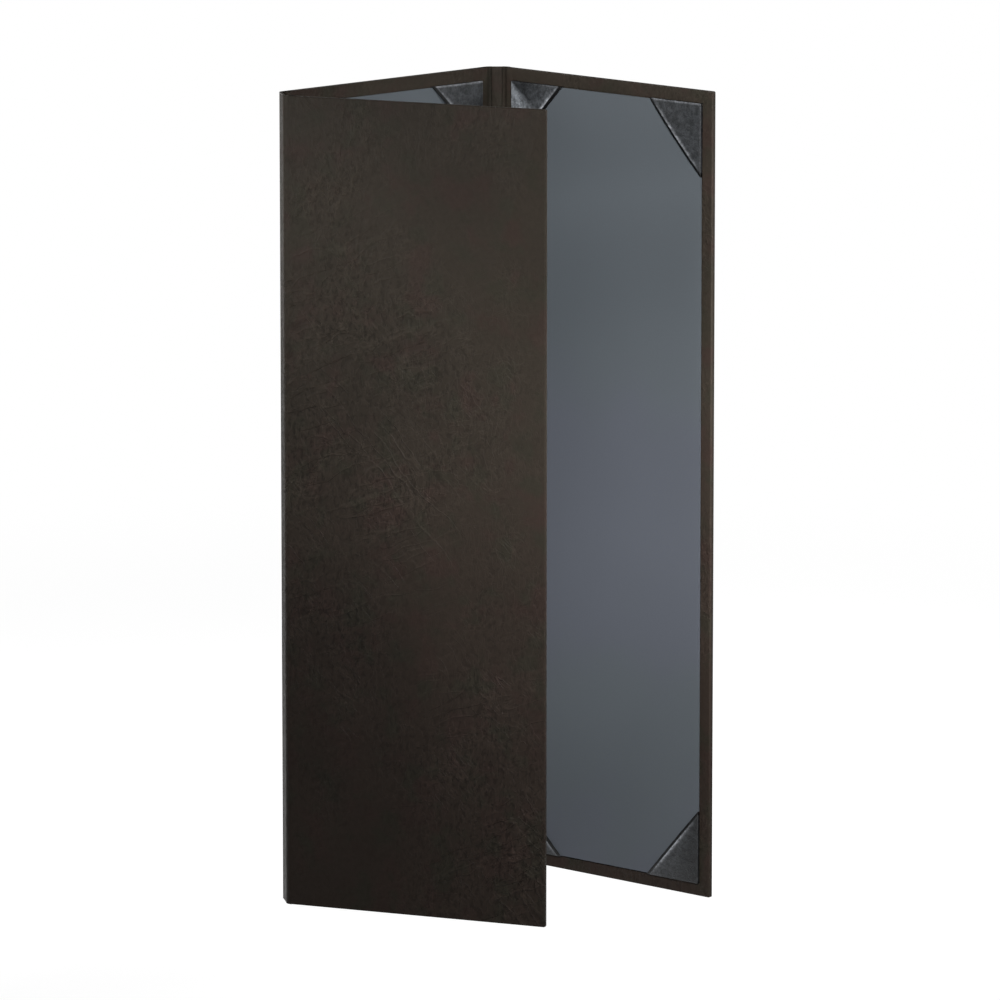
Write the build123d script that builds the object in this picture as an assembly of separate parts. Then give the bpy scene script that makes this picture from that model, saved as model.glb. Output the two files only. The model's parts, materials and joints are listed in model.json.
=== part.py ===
"""Three-panel folding menu cover, standing on its lower edges and half open.

Millimetres, +Z up. The centre panel stands in the XZ plane with its inside towards -Y.
The origin is the middle of the centre panel's bottom edge, where the cover skin meets the board.
Each panel and spine is made flat in its own frame and is then turned about its fold line.
"""
import os
from math import cos, radians, sin, tan

from build123d import *

os.makedirs("parts", exist_ok=True)

# Menu sheet that each panel holds, and how much larger its liner card is
SHEET_W = 107.95
SHEET_H = 355.6
SHEET_PLAY = 6.35

# Thickness of each layer
SKIN_T = 0.5
BOARD_T = 1.6
SPINE_BOARD_T = 0.7
CARD_T = 0.9
LINING_T = 0.5
POCKET_T = 0.35

# Margins round the liner card: turned hem on the free sides, fold line on a hinge side
HEM_MARGIN = 6.35
HINGE_MARGIN = 6.35

# Width of the narrow spine between its two fold lines, and play of the closed stack
RIGHT_SPINE_W = 8.6
STACK_PLAY = 0.45

# How far a panel's stiff part and a spine's stiff part stop short of the fold line
PANEL_SETBACK = 2.0
SPINE_SETBACK = 1.8

# Corner pockets: triangles of leatherette wrapped round the liner card's corners
POCKET_ACROSS = 31.0
POCKET_UP = 34.0
POCKET_TURN = 2.5
SHEET_SLOT = 0.15
WALL_PLAY = 0.1
POCKET_PLAY = 0.15

# Rounding of a panel's free corners and of its turned edges, and the cut of the board's corners
CORNER_R = 1.0
EDGE_ROUND = 0.4
BOARD_CORNER_CUT = 0.6

# Fold of each groove in the standing pose; 0 is flat, 90 is a closed cover
RIGHT_FOLD = 42.0
FRONT_FOLD = 58.0

# Sizes that follow from the ones above
CARD_W = SHEET_W + SHEET_PLAY
CARD_H = SHEET_H + SHEET_PLAY
PANEL_H = CARD_H + 2 * HEM_MARGIN
WING_W = HINGE_MARGIN + CARD_W + HEM_MARGIN
CENTRE_W = 2 * HINGE_MARGIN + CARD_W
HEM_FACE = -BOARD_T - SKIN_T
LINING_FACE = -BOARD_T - LINING_T
CARD_FACE = -BOARD_T - CARD_T
POCKET_UNDER = CARD_FACE - SHEET_SLOT - POCKET_T
POCKET_FACE = POCKET_UNDER - POCKET_T
POCKET_OUT = WALL_PLAY + POCKET_T
WINDOW_GAP = POCKET_OUT + POCKET_PLAY
FRONT_SPINE_W = RIGHT_SPINE_W + SKIN_T - POCKET_FACE + STACK_PLAY
EDGE_R = min(EDGE_ROUND, 0.8 * SKIN_T)


def slab(x0, x1, y0, y1, z0, z1):
    """Box between two opposite corners."""
    middle = Pos((x0 + x1) / 2, (y0 + y1) / 2, (z0 + z1) / 2)
    return middle * Box(x1 - x0, y1 - y0, z1 - z0)


def prism(points, y0, y1):
    """Polygon of (x, z) points, drawn out from y0 to y1."""
    outline = Polyline(*[(x, y0, z) for x, z in points], close=True)
    face = make_face(outline)
    return extrude(face, amount=abs(y1 - y0), dir=(0, 1 if y1 > y0 else -1, 0))


class Panel:
    """One stiff panel in its flat frame: fold line at x = 0, inside towards -y."""

    def __init__(self, name, left, right, left_free, right_free, card_left):
        self.name = name
        self.left = left
        self.right = right
        self.left_free = left_free
        self.right_free = right_free
        self.card_left = card_left
        self.card_right = card_left + CARD_W
        self.card_low = HEM_MARGIN
        self.card_high = HEM_MARGIN + CARD_H

    def free_sides(self):
        """Positions in x of the sides that have a turned edge."""
        sides = [(self.left, self.left_free), (self.right, self.right_free)]
        return [x for x, free in sides if free]

    def hinge_sides(self):
        """Positions in x of the sides that end at a fold line."""
        sides = [(self.left, self.left_free), (self.right, self.right_free)]
        return [x for x, free in sides if not free]

    def board(self):
        """Greyboard that stiffens the panel, with its free corners cut."""
        x0 = self.left + (SKIN_T if self.left_free else LINING_T)
        x1 = self.right - (SKIN_T if self.right_free else LINING_T)
        solid = slab(x0, x1, -BOARD_T, 0, SKIN_T, PANEL_H - SKIN_T)
        free = [x for x, is_free in ((x0, self.left_free), (x1, self.right_free)) if is_free]
        corners = [e for e in solid.edges().filter_by(Axis.Y)
                   if any(abs(e.center().X - x) < 0.01 for x in free)]
        return chamfer(corners, BOARD_CORNER_CUT) if corners else solid

    def envelope(self):
        """Outer shape of the skin: a slab with rounded free corners and soft edges."""
        solid = slab(self.left, self.right, HEM_FACE, SKIN_T, 0, PANEL_H)
        corners = [e for e in solid.edges().filter_by(Axis.Y)
                   if any(abs(e.center().X - x) < 0.01 for x in self.free_sides())]
        if corners:
            solid = fillet(corners, CORNER_R)
        rims = [e for e in solid.edges()
                if any(abs(e.bounding_box().min.Y - y) < 0.001 and abs(e.bounding_box().max.Y - y) < 0.001
                       for y in (SKIN_T, HEM_FACE))
                and not any(abs(e.center().X - x) < 0.01 for x in self.hinge_sides())]
        return fillet(rims, EDGE_R)

    def lining_room(self, side, face):
        """Space beside a groove: a strip over the board and a wall down the board's end."""
        inward = 1 if side == self.left else -1
        card_edge = self.card_left if inward == 1 else self.card_right
        edge = card_edge - inward * WINDOW_GAP
        wall = side + inward * LINING_T
        strip = slab(min(side, edge), max(side, edge), face, -BOARD_T, 0, PANEL_H)
        return strip + slab(min(side, wall), max(side, wall), face, 0, 0, PANEL_H)

    def cover(self):
        """Leatherette skin, wrapped over three or two edges and turned in as a hem."""
        window = slab(self.card_left - WINDOW_GAP, self.card_right + WINDOW_GAP, HEM_FACE,
                      -BOARD_T, self.card_low - WINDOW_GAP, self.card_high + WINDOW_GAP)
        solid = self.envelope() - self.board() - window
        for side in self.hinge_sides():
            solid -= self.lining_room(side, HEM_FACE)
        return solid

    def lining(self, side):
        """Leatherette beside the groove: over the board on the inside and down its end."""
        solid = self.lining_room(side, LINING_FACE)
        rims = solid.edges().filter_by(Axis.X).group_by(Axis.Y)[0]
        return fillet(rims, min(EDGE_R, 0.8 * LINING_T))

    def corners(self):
        """Name, place and inward directions of the liner card's four corners."""
        rows = [("bottom", self.card_low, 1), ("top", self.card_high, -1)]
        columns = [("left", self.card_left, 1), ("right", self.card_right, -1)]
        return [(f"{row}_{column}", x, z, sx, sz) for row, z, sz in rows for column, x, sx in columns]

    def liner(self):
        """Smooth card in the hem's window, relieved at the back for the pockets' flaps."""
        solid = slab(self.card_left, self.card_right, CARD_FACE, -BOARD_T, self.card_low, self.card_high)
        out = POCKET_OUT
        across = POCKET_ACROSS + WALL_PLAY
        up = POCKET_UP + WALL_PLAY
        for _, x, z, sx, sz in self.corners():
            flap = [(x - sx * out, z - sz * out), (x + sx * across, z - sz * out), (x - sx * out, z + sz * up)]
            solid -= prism(flap, -BOARD_T, -BOARD_T - POCKET_T)
        return solid

    def pocket(self, x, z, sx, sz):
        """Triangle wrapped round a card corner: back flap, two walls, front and turned edge."""
        out = POCKET_OUT
        across = POCKET_ACROSS
        up = POCKET_UP
        outline = [(x - sx * out, z - sz * out), (x + sx * across, z - sz * out), (x - sx * out, z + sz * up)]
        solid = prism(outline, -BOARD_T, POCKET_FACE)
        room = [(x - sx * WALL_PLAY, z - sz * WALL_PLAY), (x + sx * across, z - sz * WALL_PLAY),
                (x + sx * across, z + sz * up), (x - sx * WALL_PLAY, z + sz * up)]
        solid -= prism(room, -BOARD_T - POCKET_T, POCKET_UNDER)
        slope = (across + out) / (up + out)
        end_x = across - POCKET_T * slope
        end_z = up - POCKET_T / slope
        band_x = POCKET_TURN * (1 + slope ** 2) ** 0.5
        band_z = band_x / slope
        turned = [(x + sx * end_x, z - sz * WALL_PLAY), (x - sx * WALL_PLAY, z + sz * end_z),
                  (x - sx * WALL_PLAY, z + sz * (end_z - band_z)), (x + sx * (end_x - band_x), z - sz * WALL_PLAY)]
        return solid + prism(turned, POCKET_UNDER, POCKET_UNDER + POCKET_T)


class Spine:
    """Narrow stiff strip between two grooves: fold lines at x = 0 and x = width."""

    def __init__(self, name, width):
        self.name = name
        self.left = SPINE_SETBACK
        self.right = width - SPINE_SETBACK
        self.inner = -SPINE_BOARD_T - LINING_T

    def board(self):
        """Thin board inside the spine."""
        return slab(self.left + LINING_T, self.right - LINING_T, -SPINE_BOARD_T, 0, SKIN_T, PANEL_H - SKIN_T)

    def lining_room(self):
        """Space of the lining: over the board on the inside and down its two long edges."""
        solid = slab(self.left, self.right, self.inner, -SPINE_BOARD_T, 0, PANEL_H)
        for x0, x1 in ((self.left, self.left + LINING_T), (self.right - LINING_T, self.right)):
            solid += slab(x0, x1, self.inner, 0, 0, PANEL_H)
        return solid

    def lining(self):
        """Inside strip of the spine, with soft upper and lower edges."""
        solid = self.lining_room()
        rims = solid.edges().filter_by(Axis.X).group_by(Axis.Y)[0]
        return fillet(rims, min(EDGE_R, 0.8 * LINING_T))

    def cover(self):
        """Outer skin of the spine, turned over the board's two ends."""
        solid = slab(self.left, self.right, -SPINE_BOARD_T, SKIN_T, 0, PANEL_H)
        rims = solid.edges().filter_by(Axis.X).group_by(Axis.Y)[-1]
        return fillet(rims, EDGE_R) - self.board() - self.lining_room()


def groove(fold):
    """Bent skin and lining of a groove, panel towards +x, spine turned by fold degrees."""
    bend_r = SPINE_SETBACK / tan(radians(fold) / 2)
    centre = (SPINE_SETBACK, -bend_r)
    outer = CenterArc(centre, bend_r + SKIN_T, 90, fold)
    inner = CenterArc(centre, bend_r - LINING_T, 90, fold)
    panel_end = Polyline(inner @ 0, (PANEL_SETBACK, -LINING_T), (PANEL_SETBACK, SKIN_T), outer @ 0)
    spine_end = Line(outer @ 1, inner @ 1)
    section = make_face([outer, inner, panel_end, spine_end])
    return extrude(section, amount=PANEL_H, dir=(0, 0, 1))


def turned(x, y, angle):
    """Place of a flat frame whose fold line stands at (x, y), turned about it."""
    return Pos(x, y, 0) * Rot(0, 0, angle)


def mirrored(solid):
    """The same piece for the other side of the centre panel."""
    return mirror(solid, about=Plane.YZ)


def write(place, name, solid):
    """Put one piece in its place and write it."""
    piece = place * solid
    piece.label = name
    export_step(piece, f"parts/{name}.step")


def write_panel(panel, place):
    """Write every piece of one panel."""
    write(place, f"{panel.name}_cover", panel.cover())
    write(place, f"{panel.name}_board", panel.board())
    write(place, f"{panel.name}_liner", panel.liner())
    sides = panel.hinge_sides()
    words = ["left_hinge", "right_hinge"] if len(sides) > 1 else ["hinge"]
    for side, word in zip(sides, words):
        write(place, f"{panel.name}_{word}_lining", panel.lining(side))
    for corner, x, z, sx, sz in panel.corners():
        write(place, f"{panel.name}_{corner}_pocket", panel.pocket(x, z, sx, sz))


def write_spine(spine, place, flip):
    """Write every piece of one spine, flipped for the front one."""
    for word, solid in (("cover", spine.cover()), ("board", spine.board()), ("lining", spine.lining())):
        write(place, f"{spine.name}_{word}", mirrored(solid) if flip else solid)


RIGHT_LINE = CENTRE_W / 2
right_far_x = RIGHT_LINE + RIGHT_SPINE_W * cos(radians(RIGHT_FOLD))
right_far_y = -RIGHT_SPINE_W * sin(radians(RIGHT_FOLD))
front_far_x = -RIGHT_LINE - FRONT_SPINE_W * cos(radians(FRONT_FOLD))
front_far_y = -FRONT_SPINE_W * sin(radians(FRONT_FOLD))

centre_place = turned(0, 0, 0)
right_spine_place = turned(RIGHT_LINE, 0, -RIGHT_FOLD)
right_place = turned(right_far_x, right_far_y, -2 * RIGHT_FOLD)
front_spine_place = turned(-RIGHT_LINE, 0, FRONT_FOLD)
front_place = turned(front_far_x, front_far_y, 2 * FRONT_FOLD)

half = CENTRE_W / 2 - PANEL_SETBACK
write_panel(Panel("centre", -half, half, False, False, -CARD_W / 2), centre_place)
write_panel(Panel("right", PANEL_SETBACK, WING_W, False, True, HINGE_MARGIN), right_place)
write_panel(Panel("front", -WING_W, -PANEL_SETBACK, True, False, -HINGE_MARGIN - CARD_W), front_place)

write_spine(Spine("right_spine", RIGHT_SPINE_W), right_spine_place, False)
write_spine(Spine("front_spine", FRONT_SPINE_W), front_spine_place, True)

write(turned(RIGHT_LINE, 0, 0), "centre_right_groove", mirrored(groove(RIGHT_FOLD)))
write(turned(-RIGHT_LINE, 0, 0), "centre_left_groove", groove(FRONT_FOLD))
write(right_place, "right_groove", groove(RIGHT_FOLD))
write(front_place, "front_groove", mirrored(groove(FRONT_FOLD)))
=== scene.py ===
"""Finishes and visible pieces of a folding three-panel menu cover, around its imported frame.

Every piece is modelled in metres in a flat frame of its own panel or spine: fold line at x = 0,
inside towards -y, height along z. It is then turned about its fold line into its standing place.
"""
import json
import math

import bmesh
import bpy
from mathutils import Matrix, Vector, noise


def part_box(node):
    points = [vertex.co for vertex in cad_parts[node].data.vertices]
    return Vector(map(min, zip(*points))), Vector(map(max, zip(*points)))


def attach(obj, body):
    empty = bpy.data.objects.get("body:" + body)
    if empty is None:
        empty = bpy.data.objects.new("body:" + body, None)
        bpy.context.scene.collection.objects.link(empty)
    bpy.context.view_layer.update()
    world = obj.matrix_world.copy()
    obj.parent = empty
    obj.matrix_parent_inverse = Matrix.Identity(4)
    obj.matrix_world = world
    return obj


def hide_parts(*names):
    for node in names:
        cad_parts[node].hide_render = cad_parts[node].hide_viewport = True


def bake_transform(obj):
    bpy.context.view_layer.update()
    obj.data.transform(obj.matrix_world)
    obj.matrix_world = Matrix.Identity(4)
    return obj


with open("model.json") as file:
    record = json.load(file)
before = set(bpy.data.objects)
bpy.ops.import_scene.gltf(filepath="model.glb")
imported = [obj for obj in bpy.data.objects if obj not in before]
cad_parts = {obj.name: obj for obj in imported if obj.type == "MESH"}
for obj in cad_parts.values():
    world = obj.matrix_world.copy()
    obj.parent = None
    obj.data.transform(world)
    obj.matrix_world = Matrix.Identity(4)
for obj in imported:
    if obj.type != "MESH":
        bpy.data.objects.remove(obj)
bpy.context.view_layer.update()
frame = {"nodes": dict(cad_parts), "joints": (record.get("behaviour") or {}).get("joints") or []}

bl_info = {
    "name": "Folding menu cover",
    "version": (1, 0, 0),
    "blender": (4, 5, 0),
    "location": "View3D > Sidebar > Menu cover",
    "description": "Models and finishes a leatherette menu cover with liner cards and corner pockets",
    "category": "Add Mesh",
}

MM = 0.001


# Places and sizes read from the frame

def joint_line(name):
    """Point at the foot of a fold line."""
    found = next(joint for joint in frame["joints"] if joint["name"] == name)
    return Vector(found["pos_m"])


RIGHT_NEAR = joint_line("right_spine_fold")
RIGHT_FAR = joint_line("right_panel_fold")
FRONT_NEAR = joint_line("front_spine_fold")
FRONT_FAR = joint_line("front_panel_fold")


def fold_angle(near, far):
    """Turn of a spine about the upright, as seen from its near fold line."""
    across = far - near
    way = 1 if across.x > 0 else -1
    return math.atan2(across.y * way, across.x * way)


RIGHT_TURN = fold_angle(RIGHT_NEAR, RIGHT_FAR)
FRONT_TURN = fold_angle(FRONT_NEAR, FRONT_FAR)
RIGHT_SPINE_W = (RIGHT_FAR - RIGHT_NEAR).length
FRONT_SPINE_W = (FRONT_FAR - FRONT_NEAR).length


def standing(foot, turn):
    """Place of a flat frame: its foot on the ground and its turn about the upright."""
    return Matrix.Translation(foot) @ Matrix.Rotation(turn, 4, "Z")


def flat_box(node, foot, turn):
    """Lowest and highest corner of a node, measured in its own flat frame."""
    to_flat = standing(foot, turn).inverted()
    points = [to_flat @ vert.co for vert in frame["nodes"][node].data.vertices]
    return [Vector([pick(point[axis] for point in points) for axis in range(3)]) for pick in (min, max)]


COVER_LOW, COVER_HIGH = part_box("centre_cover")
BOARD_LOW, BOARD_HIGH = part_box("centre_board")
CARD_LOW, CARD_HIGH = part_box("centre_liner")
POCKET_LOW, POCKET_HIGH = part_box("centre_bottom_left_pocket")
HINGE_LOW, HINGE_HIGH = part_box("centre_right_hinge_lining")
STRIP_LOW, STRIP_HIGH = flat_box("right_spine_lining", RIGHT_NEAR, RIGHT_TURN)

PANEL_H = COVER_HIGH.z
SKIN_FACE = COVER_HIGH.y
BOARD_FACE = BOARD_LOW.y
HEM_FACE = COVER_LOW.y
CARD_FACE = CARD_LOW.y
STRIP_FACE = STRIP_LOW.y
CARD_W = CARD_HIGH.x - CARD_LOW.x
HEM_MARGIN = CARD_LOW.z
HINGE_MARGIN = RIGHT_NEAR.x - CARD_HIGH.x
WING_W = HINGE_MARGIN + CARD_W + HEM_MARGIN
PANEL_SETBACK = RIGHT_NEAR.x - COVER_HIGH.x
SPINE_SETBACK = STRIP_LOW.x
WINDOW_GAP = HINGE_LOW.x - CARD_HIGH.x
POCKET_OUT = CARD_LOW.x - POCKET_LOW.x
POCKET_ACROSS = POCKET_HIGH.x - CARD_LOW.x
POCKET_UP = POCKET_HIGH.z - CARD_LOW.z
POCKET_RISE = CARD_FACE - POCKET_LOW.y
BOARD_FACE_BELOW = CARD_FACE - BOARD_FACE

# Values of the modelling

FLOOR_LIFT = 0.03 * MM
MERGE_DISTANCE = 0.002 * MM
SAME_LENGTH = 0.02 * MM
CUT_SLIVER = 0.15 * MM
MITRE_WIDTH = 0.22 * MM
MITRE_SLACK = 0.05 * MM
SHORTEST_SEAM = 1.0 * MM
STRIP_LIFT = 0.02 * MM
STRIP_SLACK = 0.05 * MM
STRIP_DEPTH = 0.3 * MM
SPINE_END_ROUND = 0.4 * MM
SMOOTH_ANGLE = math.radians(35)
POCKET_SMOOTH_ANGLE = math.radians(50)
CORNER_STEPS = 6
EDGE_STEPS = 4
LINING_STEPS = 5
GROOVE_CUTS = 40
GROOVE_STEPS = 12
POCKET_CUTS = 39
POCKET_LIP_STEPS = 6
POCKET_ROLL_STEPS = 6
LIP_REACH = 1.1
REACH_STEP = 0.1
RIM_TURNS = (30, 60, 90, 120)

# Spots of the leatherette, placed across and up a panel in shares of its width and height:
# across is 0 at the front panel's fold and -1 at its free edge. A creased spot is across, up,
# reach and amount, and SQUAT presses its height together. A tone is across, up and the share
# by which it lightens or darkens; the tones stand in part for the photographed light.

SQUAT = 0.55
CREASED_SPOTS = ((-0.22, 0.57, 0.62, 1.0), (-0.78, 0.12, 0.5, 1.3), (-0.12, 0.3, 0.35, 0.6))
LEATHER_TONES = ((-0.92, 0.6, 0.2), (-0.12, 0.82, 0.18), (-0.2, 0.27, -0.24), (-0.15, 0.1, -0.13))
TONE_REACH = 0.72
# Faces on the inside of the leatherette are made lighter than the outer skin as painted light, and less so
# towards the bottom as painted shade.
INNER_PAINTED_LIGHT = 1.9
INNER_PAINTED_LIGHT_LOW = 1.4

# Leans of the wrinkles in radians, and how fine and how drawn out the lines are

UPRIGHT_LEAN = 0.12
RISING_LEAN = 1.17
FALLING_LEAN = -0.73
WRINKLE_STRETCH = 2.8
FALLING_STRETCH = 2.6
CREASE_STRETCH = 7.0
UPRIGHT_SCALE = 330.0
RISING_SCALE = 290.0
FALLING_SCALE = 270.0
LONG_RISING_SCALE = 130.0
LONG_FALLING_SCALE = 105.0
PIT_SCALE = 560.0
TOOTH_SCALE = 2600.0
LEATHER_RELIEF = 0.0003
CARD_RELIEF = 0.00003
PULP_RELIEF = 0.0001
FLECK_COLOUR = (0.12, 0.1, 0.09, 1.0)

# Stage: where the lamps turn about and aim, and how the white floor fades into the backdrop

MIDDLE = Vector((0.0, -0.06, 0.0))
SURROUND_COLOUR = (0.97, 0.985, 1.0, 1.0)
SURROUND_LIGHT = 0.06
WHITE = (1.0, 1.0, 1.0, 1.0)
BLACK = (0.0, 0.0, 0.0, 1.0)
FLOOR_REACH = 8.0
FLOOR_GLOW = 0.92
FADE_START = 0.4
FADE_END = 1.0
LAMP_INTO_COVER = Vector((0.08, -0.09, 0.17))
LAMP_OVER_FRONT = Vector((-0.05, -0.055, 0.44))
LAMP_ON_CENTRE = Vector((-0.01, 0, 0.2))
LAMP_BEHIND = MIDDLE + Vector((0, 0, 0.5 * PANEL_H))

# Each lamp: name, azimuth, distance, height, aim, width, power, spread in degrees

LAMPS = (
    ("inside", 30, 0.8, 0.5, LAMP_INTO_COVER, 0.12, 0.37, 40),
    ("front_top", 90, 0.6, 0.75, LAMP_OVER_FRONT, 0.2, 0.1, 50),
    ("left", 108, 0.56, 0.38, LAMP_OVER_FRONT, 0.25, 0.33, 85),
    ("centre", -25, 0.8, 0.6, LAMP_ON_CENTRE, 0.12, 0.12, 30),
    ("behind_left", 190, 1.2, 0.8, LAMP_BEHIND, 0.7, 1.1, 60),
    ("behind_right", 268, 1.2, 0.8, LAMP_BEHIND, 0.7, 1.1, 60),
)

CAMERA_AZIMUTH = math.radians(42.219)
CAMERA_PITCH = math.radians(10.518)
CAMERA_DISTANCE = 4.025
CAMERA_SLIDE = -52.73 * MM
CAMERA_LIFT = 8.71 * MM
CAMERA_REACH = 50.0
FOCAL_PIXELS = 8713.0
FRAME_PIXELS = 1000.0
SENSOR = 36.0


class MenuCoverShape(bpy.types.PropertyGroup):
    """Softness of the pieces, in metres."""

    corner_radius: bpy.props.FloatProperty(
        name="Corner radius", description="Rounding of a panel's free corners",
        default=0.6 * MM, unit="LENGTH")
    turned_edge: bpy.props.FloatProperty(
        name="Turned edge", description="Rounding where the leatherette turns over the board",
        default=0.5 * MM, unit="LENGTH")
    mitre_depth: bpy.props.FloatProperty(
        name="Mitre depth", description="Depth of the slanting seam in the hem's corners",
        default=0.14 * MM, unit="LENGTH")
    skin_thickness: bpy.props.FloatProperty(
        name="Skin thickness", description="Thickness of the leatherette",
        default=0.5 * MM, unit="LENGTH")
    lining_edge: bpy.props.FloatProperty(
        name="Lining edge", description="Rounding of the lining where it dips into a groove",
        default=0.5 * MM, unit="LENGTH")
    pocket_skin: bpy.props.FloatProperty(
        name="Pocket skin", description="Thickness of the pockets' leatherette",
        default=0.25 * MM, unit="LENGTH")
    pocket_rim: bpy.props.FloatProperty(
        name="Pocket rim", description="Rounding of a pocket where it turns over the card's edge",
        default=0.3 * MM, unit="LENGTH")
    pocket_bulge: bpy.props.FloatProperty(
        name="Pocket bulge", description="How far a pocket's slanting edge stands off the card",
        default=1.1 * MM, unit="LENGTH")
    pocket_sag: bpy.props.FloatProperty(
        name="Pocket sag", description="How far the slanting edge bows towards the corner",
        default=0.25 * MM, unit="LENGTH")
    pocket_ripple: bpy.props.FloatProperty(
        name="Pocket ripple", description="Height of the gentle waves in a pocket's face",
        default=0.1 * MM, unit="LENGTH")
    pocket_lip: bpy.props.FloatProperty(
        name="Pocket lip", description="Width of the band that slopes down to the slanting fold",
        default=1.5 * MM, unit="LENGTH")
    pocket_drop: bpy.props.FloatProperty(
        name="Pocket drop", description="How far that band slopes down",
        default=0.2 * MM, unit="LENGTH")
    pocket_roll: bpy.props.FloatProperty(
        name="Pocket roll", description="Radius of the slanting fold",
        default=0.29 * MM, unit="LENGTH")
    pocket_turn: bpy.props.FloatProperty(
        name="Pocket turn", description="Width of the leather turned under the slanting edge",
        default=2.5 * MM, unit="LENGTH")


class MenuCoverColours(bpy.types.PropertyGroup):
    """Base colours of the finishes."""

    leather: bpy.props.FloatVectorProperty(
        name="Cover leatherette", description="Colour of the outer skin and linings",
        subtype="COLOR", size=3, default=(0.0305, 0.0248, 0.0192))
    leather_red: bpy.props.FloatVectorProperty(
        name="Warm patches", description="Colour of the reddish patches in the leatherette",
        subtype="COLOR", size=3, default=(0.034, 0.0234, 0.0193))
    leather_olive: bpy.props.FloatVectorProperty(
        name="Olive patches", description="Colour of the greenish patches in the leatherette",
        subtype="COLOR", size=3, default=(0.0275, 0.0246, 0.0182))
    liner: bpy.props.FloatVectorProperty(
        name="Liner card", description="Colour of the smooth liner cards",
        subtype="COLOR", size=3, default=(0.167, 0.182, 0.215))
    # Greener colour of the liner cards' upper part and low band, painted light.
    liner_painted_tint: bpy.props.FloatVectorProperty(
        name="Liner card's shade", description="Colour of the liner cards' upper part and low band",
        subtype="COLOR", size=3, default=(0.165, 0.187, 0.207))
    pocket: bpy.props.FloatVectorProperty(
        name="Pocket leatherette", description="Colour of the corner pockets",
        subtype="COLOR", size=3, default=(0.056, 0.060, 0.065))
    # Lighter colour of the pockets' folds, where they are scuffed and where they carry a painted
    # highlight.
    pocket_rubbed_and_highlight: bpy.props.FloatVectorProperty(
        name="Rubbed pocket folds", description="Colour of the worn folds of the corner pockets",
        subtype="COLOR", size=3, default=(0.52, 0.54, 0.58))
    board: bpy.props.FloatVectorProperty(
        name="Greyboard", description="Colour of the boards inside",
        subtype="COLOR", size=3, default=(0.24, 0.22, 0.2))
    floor: bpy.props.FloatVectorProperty(
        name="Floor", description="Colour of the floor as it lights the cover",
        subtype="COLOR", size=3, default=(0.33, 0.33, 0.33))


# Shader values written as sums and products

class Value:
    """A shader socket that can be used in an expression."""

    def __init__(self, finish, socket):
        self.finish = finish
        self.socket = socket

    def maths(self, operation, first, second):
        """A Math node on two values or numbers."""
        return self.finish.node("Math", {"operation": operation}, {0: first, 1: second})

    def __add__(self, other):
        return self.maths("ADD", self, other)

    def __radd__(self, other):
        return self.maths("ADD", other, self)

    def __sub__(self, other):
        return self.maths("SUBTRACT", self, other)

    def __rsub__(self, other):
        return self.maths("SUBTRACT", other, self)

    def __mul__(self, other):
        return self.maths("MULTIPLY", self, other)

    def __rmul__(self, other):
        return self.maths("MULTIPLY", other, self)


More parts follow.
